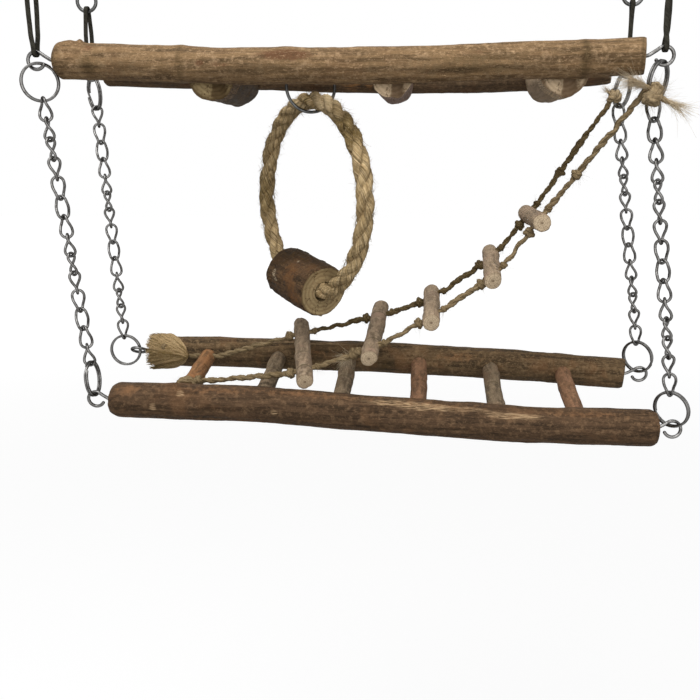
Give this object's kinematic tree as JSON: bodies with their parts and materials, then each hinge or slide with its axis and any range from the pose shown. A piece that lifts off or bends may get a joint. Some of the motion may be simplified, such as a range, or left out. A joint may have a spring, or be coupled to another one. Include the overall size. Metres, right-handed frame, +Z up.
{
  "type": "small pet hanging bridge",
  "caption": "Two-level hanging bridge of branch logs for small pets, with chains, split rings, a rope ring swing with a barrel and a twine ladder, hung on wire hooks",
  "frame": {"origin": "middle of the four hook seats, level with the underside of the cage bars' upper side where the hooks rest", "axes": "+X to the right along the logs as in the picture, +Y to the back, +Z up"},
  "size_m": [0.3404, 0.098, 0.254],
  "materials": {
    "upper_bark": "weathered light brown bark, matt",
    "deck_bark": "dark reddish-brown bark with pale scraped places, matt",
    "step_wood": "grey-brown bark with pale sawn ends, matt",
    "rung_wood": "peeled branch, matt",
    "twig_wood": "grey-brown twig bark with pale sawn ends, matt",
    "barrel_wood": "red-brown bark with a pale sawn end, matt",
    "nickel": "nickel plating, slightly dull",
    "dark_steel": "dark steel wire",
    "rope": "laid natural rope, golden beige",
    "twine": "two-ply natural twine, frayed ends",
    "hanger_cord": "dark cord"
  },
  "bodies": {
    "cage_hooks": {"hook_front_left": "dark_steel", "hook_front_right": "dark_steel", "hook_back_left": "dark_steel", "hook_back_right": "dark_steel"},
    "hanger_front_left": {"hanger_loop_front_left": "hanger_cord"},
    "hanger_front_right": {"hanger_loop_front_right": "hanger_cord"},
    "hanger_back_left": {"hanger_loop_back_left": "hanger_cord"},
    "hanger_back_right": {"hanger_loop_back_right": "hanger_cord"},
    "upper_frame": {"upper_front_log": "upper_bark", "upper_back_log": "upper_bark", "step_left": "step_wood", "step_middle": "step_wood", "step_right": "step_wood", "step_nails": "dark_steel", "swing_dowel": "rung_wood", "upper_screw_eyes": "nickel"},
    "upper_ring_front_left": {"upper_ring_front_left": "nickel"},
    "upper_ring_front_right": {"upper_ring_front_right": "nickel", "top_tie_front": "twine"},
    "upper_ring_back_left": {"upper_ring_back_left": "nickel"},
    "upper_ring_back_right": {"upper_ring_back_right": "nickel", "top_tie_back": "twine"},
    "chain_front_left": {"chain_front_left": "nickel"},
    "chain_front_right": {"chain_front_right": "nickel"},
    "chain_back_left": {"chain_back_left": "nickel"},
    "chain_back_right": {"chain_back_right": "nickel"},
    "lower_ring_front_left": {"lower_ring_front_left": "nickel"},
    "lower_ring_front_right": {"lower_ring_front_right": "nickel"},
    "lower_ring_back_left": {"lower_ring_back_left": "nickel"},
    "lower_ring_back_right": {"lower_ring_back_right": "nickel"},
    "deck": {"deck_front_log": "deck_bark", "deck_back_log": "deck_bark", "deck_rung_1": "rung_wood", "deck_rung_2": "rung_wood", "deck_rung_3": "rung_wood", "deck_rung_4": "rung_wood", "deck_rung_5": "rung_wood", "deck_rung_6": "rung_wood", "deck_screw_eyes": "nickel", "ladder_rung_1": "twig_wood", "ladder_twine_foot": "twine", "deck_tie_front": "twine", "deck_tie_back": "twine"},
    "ladder_top": {"ladder_twine_top": "twine", "ladder_rung_5": "twig_wood"},
    "ladder_upper": {"ladder_twine_upper": "twine", "ladder_rung_4": "twig_wood", "ladder_rung_3": "twig_wood"},
    "ladder_lower": {"ladder_twine_lower": "twine", "ladder_rung_2": "twig_wood"},
    "swing_ring": {"swing_steel_ring": "dark_steel"},
    "swing_rope": {"swing_rope": "rope"},
    "swing_barrel": {"swing_barrel": "barrel_wood"}
  },
  "joints": [
    {"name": "frame_sway", "type": "hinge", "parent": "cage_hooks", "child": "hanger_front_left", "pos_m": [-0.154, -0.0375, -0.023], "axis": [0, -1, 0], "range_deg": [-8, 8]},
    {"name": "hanger_sway_front_right", "type": "hinge", "parent": "cage_hooks", "child": "hanger_front_right", "pos_m": [0.154, -0.0375, -0.023], "axis": [0, -1, 0], "range_deg": [-8.05, 8.05]},
    {"name": "hanger_sway_back_left", "type": "hinge", "parent": "cage_hooks", "child": "hanger_back_left", "pos_m": [-0.154, 0.0375, -0.023], "axis": [0, -1, 0], "range_deg": [-8.05, 8.05]},
    {"name": "hanger_sway_back_right", "type": "hinge", "parent": "cage_hooks", "child": "hanger_back_right", "pos_m": [0.154, 0.0375, -0.023], "axis": [0, -1, 0], "range_deg": [-8.05, 8.05]},
    {"name": "upper_frame_level", "type": "hinge", "parent": "hanger_front_left", "child": "upper_frame", "pos_m": [-0.154, -0.0375, -0.0548], "axis": [0, -1, 0], "range_deg": [-8.05, 8.05]},
    {"name": "deck_sway", "type": "hinge", "parent": "upper_frame", "child": "upper_ring_front_left", "pos_m": [-0.154, -0.0375, -0.0568], "axis": [0, -1, 0], "range_deg": [-2.5, 4.5]},
    {"name": "leg_sway_front_right", "type": "hinge", "parent": "upper_frame", "child": "upper_ring_front_right", "pos_m": [0.154, -0.0375, -0.0568], "axis": [0, -1, 0], "range_deg": [-2.42, 4.32]},
    {"name": "leg_sway_back_left", "type": "hinge", "parent": "upper_frame", "child": "upper_ring_back_left", "pos_m": [-0.154, 0.0375, -0.0568], "axis": [0, -1, 0], "range_deg": [-2.7, 4.82]},
    {"name": "leg_sway_back_right", "type": "hinge", "parent": "upper_frame", "child": "upper_ring_back_right", "pos_m": [0.154, 0.0375, -0.0568], "axis": [0, -1, 0], "range_deg": [-2.56, 4.57]},
    {"name": "deck_surge", "type": "hinge", "parent": "upper_ring_front_left", "child": "chain_front_left", "pos_m": [-0.15194, -0.0375, -0.07638], "axis": [1, 0, 0], "range_deg": [-2.5, 2.5]},
    {"name": "leg_surge_front_right", "type": "hinge", "parent": "upper_ring_front_right", "child": "chain_front_right", "pos_m": [0.15003, -0.0375, -0.07722], "axis": [1, 0, 0], "range_deg": [-2.39, 2.39]},
    {"name": "leg_surge_back_left", "type": "hinge", "parent": "upper_ring_back_left", "child": "chain_back_left", "pos_m": [-0.15183, 0.0375, -0.07749], "axis": [1, 0, 0], "range_deg": [-2.54, 2.54]},
    {"name": "leg_surge_back_right", "type": "hinge", "parent": "upper_ring_back_right", "child": "chain_back_right", "pos_m": [0.15003, 0.0375, -0.07722], "axis": [1, 0, 0], "range_deg": [-2.56, 2.56]},
    {"name": "lower_ring_level_front_left", "type": "hinge", "parent": "chain_front_left", "child": "lower_ring_front_left", "pos_m": [-0.13723, -0.0375, -0.21248], "axis": [1, 0, 0], "range_deg": [-2.55, 2.55]},
    {"name": "lower_ring_level_front_right", "type": "hinge", "parent": "chain_front_right", "child": "lower_ring_front_right", "pos_m": [0.17024, -0.0375, -0.22262], "axis": [1, 0, 0], "range_deg": [-2.39, 2.39]},
    {"name": "lower_ring_level_back_left", "type": "hinge", "parent": "chain_back_left", "child": "lower_ring_back_left", "pos_m": [-0.14369, 0.0375, -0.21414], "axis": [1, 0, 0], "range_deg": [-2.54, 2.54]},
    {"name": "lower_ring_level_back_right", "type": "hinge", "parent": "chain_back_right", "child": "lower_ring_back_right", "pos_m": [0.17006, 0.0375, -0.21264], "axis": [1, 0, 0], "range_deg": [-2.56, 2.56]},
    {"name": "deck_level", "type": "hinge", "parent": "lower_ring_front_left", "child": "deck", "pos_m": [-0.13515, -0.0375, -0.23316], "axis": [0, -1, 0], "range_deg": [-4.55, 2.55]},
    {"name": "ladder_turn", "type": "hinge", "parent": "upper_ring_front_right", "child": "ladder_top", "pos_m": [0.14616, -0.00649, -0.07149], "axis": [0, 0, 1], "range_deg": [-2.03, 2.03]},
    {"name": "ladder_upper_bend", "type": "hinge", "parent": "ladder_top", "child": "ladder_upper", "pos_m": [0.10082, 0, -0.13632], "axis": [0, -1, 0], "range_deg": [-4.98, 8.93]},
    {"name": "ladder_lower_bend", "type": "hinge", "parent": "ladder_upper", "child": "ladder_lower", "pos_m": [0.04689, 0, -0.1859], "axis": [0, -1, 0], "range_deg": [-26.15, 14.55]},
    {"name": "swing_sway", "type": "hinge", "parent": "upper_frame", "child": "swing_ring", "pos_m": [-0.02, 0, -0.06023], "axis": [0, -1, 0], "range_deg": [-18, 9]},
    {"name": "swing_rock", "type": "hinge", "parent": "swing_ring", "child": "swing_rope", "pos_m": [-0.02, 0, -0.08078], "axis": [0.9511, 0.309, 0], "range_deg": [-18, 18]},
    {"name": "barrel_spin", "type": "hinge", "parent": "swing_rope", "child": "swing_barrel", "pos_m": [-0.02509, 0.00651, -0.17348], "axis": [0.6063, -0.776, -0.1736], "continuous": true}
  ],
  "couplings": [
    {"joint": "hanger_sway_front_right", "follows": "frame_sway", "ratio": 1},
    {"joint": "hanger_sway_back_left", "follows": "frame_sway", "ratio": 1},
    {"joint": "hanger_sway_back_right", "follows": "frame_sway", "ratio": 1},
    {"joint": "upper_frame_level", "follows": "frame_sway", "ratio": -1},
    {"joint": "leg_sway_front_right", "follows": "deck_sway", "ratio": 0.9497},
    {"joint": "leg_sway_back_left", "follows": "deck_sway", "ratio": 1.0601},
    {"joint": "leg_sway_back_right", "follows": "deck_sway", "ratio": 1.0037},
    {"joint": "leg_surge_front_right", "follows": "deck_surge", "ratio": 0.9361},
    {"joint": "leg_surge_back_left", "follows": "deck_surge", "ratio": 0.996},
    {"joint": "leg_surge_back_right", "follows": "deck_surge", "ratio": 1.005},
    {"joint": "lower_ring_level_front_left", "follows": "deck_surge", "ratio": -1},
    {"joint": "lower_ring_level_front_right", "follows": "deck_surge", "ratio": -0.9361},
    {"joint": "lower_ring_level_back_left", "follows": "deck_surge", "ratio": -0.996},
    {"joint": "lower_ring_level_back_right", "follows": "deck_surge", "ratio": -1.005},
    {"joint": "deck_level", "follows": "deck_sway", "ratio": -1},
    {"joint": "ladder_turn", "follows": "deck_surge", "ratio": -0.791},
    {"joint": "ladder_upper_bend", "follows": "deck_sway", "ratio": 1.9731},
    {"joint": "ladder_lower_bend", "follows": "deck_sway", "ratio": -5.8004}
  ]
}
